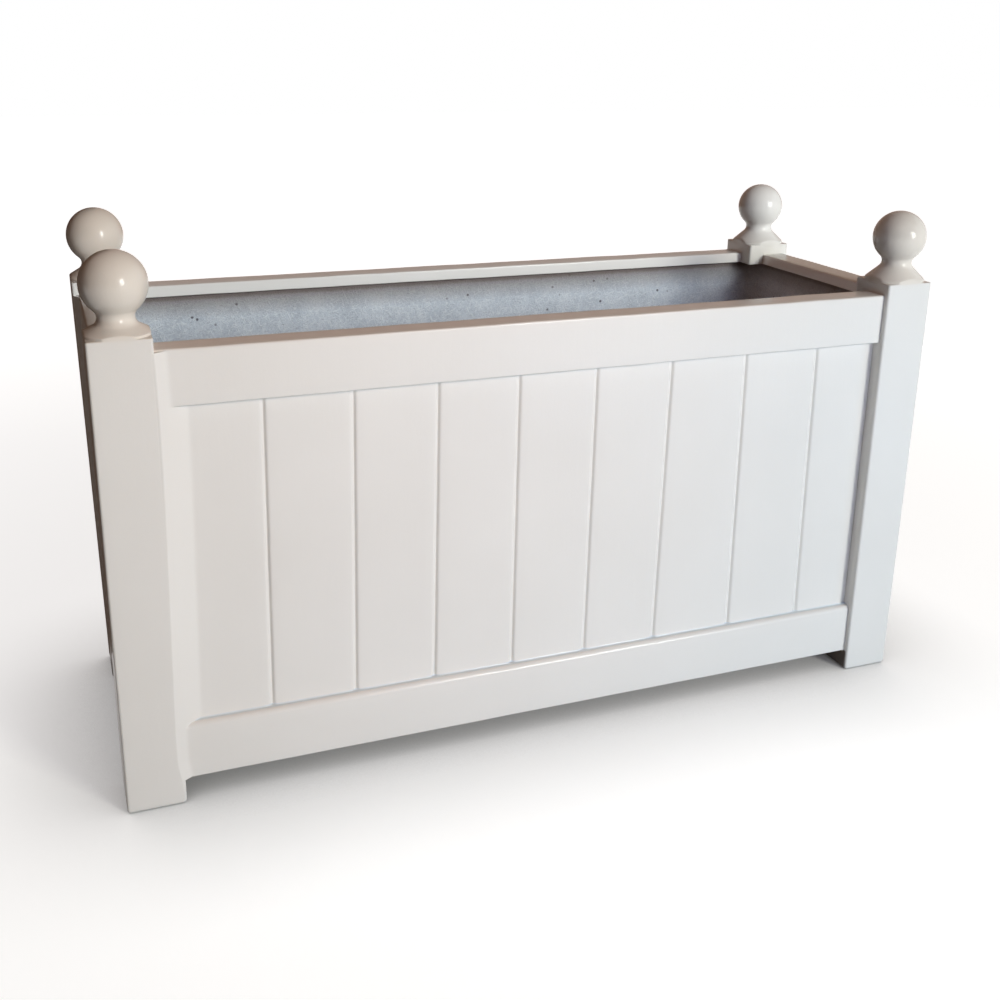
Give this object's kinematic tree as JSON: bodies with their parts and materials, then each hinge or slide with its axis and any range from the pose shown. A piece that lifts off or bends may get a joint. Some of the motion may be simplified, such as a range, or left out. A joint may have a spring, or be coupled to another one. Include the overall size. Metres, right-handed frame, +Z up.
{
  "type": "rectangular floor planter",
  "caption": "Long rectangular floor planter: four square corner posts with ball finials, grooved side panels between rails, and a grey drained liner inside.",
  "frame": {"origin": "on the floor, under the centre of the planter", "axes": "+X along the length to the right as seen from the front, +Y from the front to the back, +Z up"},
  "size_m": [1.0024, 0.3724, 0.616],
  "materials": {
    "paint": "off-white gloss paint over moulded composite",
    "grey_laminate": "rough grey glass-fibre laminate",
    "timber": "treated softwood",
    "steel": "zinc plated",
    "black_plastic": "moulded"
  },
  "bodies": {
    "root": {"post_front_left": "paint", "post_front_right": "paint", "post_rear_right": "paint", "post_rear_left": "paint", "finial_front_left": "paint", "finial_front_right": "paint", "finial_rear_right": "paint", "finial_rear_left": "paint", "finial_dowels": "timber", "top_rail_front": "paint", "top_rail_right": "paint", "top_rail_rear": "paint", "top_rail_left": "paint", "bottom_rail_front": "paint", "bottom_rail_right": "paint", "bottom_rail_rear": "paint", "bottom_rail_left": "paint", "panel_front": "paint", "panel_right": "paint", "panel_rear": "paint", "panel_left": "paint", "cove_front": "paint", "cove_right": "paint", "cove_rear": "paint", "cove_left": "paint", "liner": "grey_laminate", "drain_bushes": "black_plastic", "ledger_front": "timber", "ledger_rear": "timber", "ledger_screws": "steel", "bearer_left": "timber", "bearer_middle": "timber", "bearer_right": "timber", "bearer_screws": "steel"}
  },
  "joints": []
}
